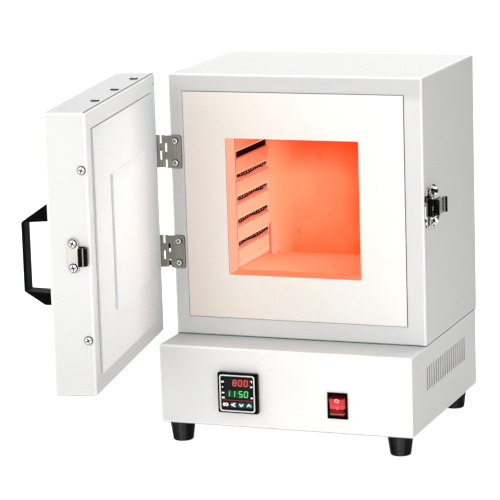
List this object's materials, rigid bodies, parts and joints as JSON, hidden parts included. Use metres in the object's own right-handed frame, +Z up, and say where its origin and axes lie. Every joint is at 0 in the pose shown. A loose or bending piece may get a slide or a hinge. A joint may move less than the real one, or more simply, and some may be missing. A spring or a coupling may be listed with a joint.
{
  "type": "pottery kiln",
  "caption": "Bench-top pottery kiln: a fibre-lined chamber with a side-hung latched door, on a control cabinet with rubber feet.",
  "frame": {"origin": "centre of the control cabinet's flat underside; the rubber feet reach 26 mm below it", "axes": "+Z up, the front with its door and controls faces -Y, +X is to the right as seen from the front, where the latch is"},
  "size_m": [0.3903, 0.5391, 0.4345],
  "materials": {
    "white_steel": "satin white powder coat",
    "fibre_board": "matt cream vacuum-formed ceramic fibre board",
    "hot_fibre": "ceramic fibre board glowing orange with heat",
    "wool": "soft white ceramic wool",
    "heater_alloy": "dark oxidised resistance wire",
    "ceramic_sheath": "unglazed ceramic tube",
    "black_rubber": "matt black rubber",
    "black_plastic": "fine-grained black plastic",
    "stainless": "stamped stainless steel",
    "chrome": "bright chromed steel",
    "red_rocker": "lit translucent red plastic",
    "display": "dark display window",
    "key_teal": "teal membrane key",
    "key_maroon": "maroon membrane key",
    "nylon": "pale nylon"
  },
  "bodies": {
    "cabinet": {"base_shell": "white_steel", "base_plate": "white_steel", "body_shell": "white_steel", "back_cover": "white_steel", "front_board": "fibre_board", "muffle_floor": "hot_fibre", "muffle_roof": "hot_fibre", "muffle_back": "hot_fibre", "muffle_left": "hot_fibre", "muffle_right": "hot_fibre", "insulation": "wool", "heating_coil_left": "heater_alloy", "heating_coil_right": "heater_alloy", "thermocouple_sheath": "ceramic_sheath", "thermocouple_head": "nylon", "terminal_block": "nylon", "foot_front_left": "black_rubber", "foot_front_right": "black_rubber", "foot_back_left": "black_rubber", "foot_back_right": "black_rubber", "controller_case": "black_plastic", "rocker_frame": "black_plastic", "solid_state_relay": "black_plastic", "power_inlet": "black_plastic", "controller_face": "display", "hinge_body_leaf_upper": "stainless", "hinge_body_leaf_lower": "stainless", "hinge_pin_upper": "stainless", "hinge_pin_lower": "stainless", "hinge_screw_upper_top": "stainless", "hinge_screw_upper_bottom": "stainless", "hinge_screw_lower_top": "stainless", "hinge_screw_lower_bottom": "stainless", "latch_screw_top": "stainless", "latch_screw_bottom": "stainless", "latch_base": "chrome", "latch_pin": "chrome"},
    "door": {"door_shell": "white_steel", "door_board": "fibre_board", "door_insulation": "wool", "door_handle": "black_plastic", "hinge_door_leaf_upper": "stainless", "hinge_door_leaf_lower": "stainless", "keeper_screw_top": "stainless", "keeper_screw_bottom": "stainless", "door_edge_screw_upper": "stainless", "door_edge_screw_lower": "stainless", "door_top_screw_free": "stainless", "door_top_screw_middle": "stainless", "door_top_screw_hinge": "stainless", "keeper": "chrome"},
    "latch_lever_body": {"latch_lever": "chrome", "claw_pin": "chrome"},
    "latch_claw_body": {"latch_claw": "chrome"},
    "rocker": {"rocker_button": "red_rocker"},
    "key_set_body": {"key_set": "key_maroon"},
    "key_left_body": {"key_left": "key_teal"},
    "key_down_body": {"key_down": "key_teal"},
    "key_up_body": {"key_up": "key_teal"}
  },
  "joints": [
    {"name": "door_hinge", "type": "hinge", "parent": "cabinet", "child": "door", "pos_m": [-0.1643, -0.072, 0.2532], "axis": [0, 0, 1], "range_deg": [-95, 80.6]},
    {"name": "latch_lever_hinge", "type": "hinge", "parent": "cabinet", "child": "latch_lever_body", "pos_m": [0.1618, -0.0674, 0.256], "axis": [0, 0, -1], "range_deg": [0, 110]},
    {"name": "latch_claw_hinge", "type": "hinge", "parent": "latch_lever_body", "child": "latch_claw_body", "pos_m": [0.1692, -0.066, 0.256], "axis": [0, 0, 1], "range_deg": [-180, 0]},
    {"name": "rocker_tilt", "type": "hinge", "parent": "cabinet", "child": "rocker", "pos_m": [0.0655, -0.126, 0.0335], "axis": [1, 0, 0], "range_deg": [-16, 0]},
    {"name": "key_set_press", "type": "slide", "parent": "cabinet", "child": "key_set_body", "axis": [0, 1, 0], "range_m": [0, 0.0006], "stiffness_N_per_m": 500},
    {"name": "key_left_press", "type": "slide", "parent": "cabinet", "child": "key_left_body", "axis": [0, 1, 0], "range_m": [0, 0.0006], "stiffness_N_per_m": 500},
    {"name": "key_down_press", "type": "slide", "parent": "cabinet", "child": "key_down_body", "axis": [0, 1, 0], "range_m": [0, 0.0006], "stiffness_N_per_m": 500},
    {"name": "key_up_press", "type": "slide", "parent": "cabinet", "child": "key_up_body", "axis": [0, 1, 0], "range_m": [0, 0.0006], "stiffness_N_per_m": 500}
  ]
}
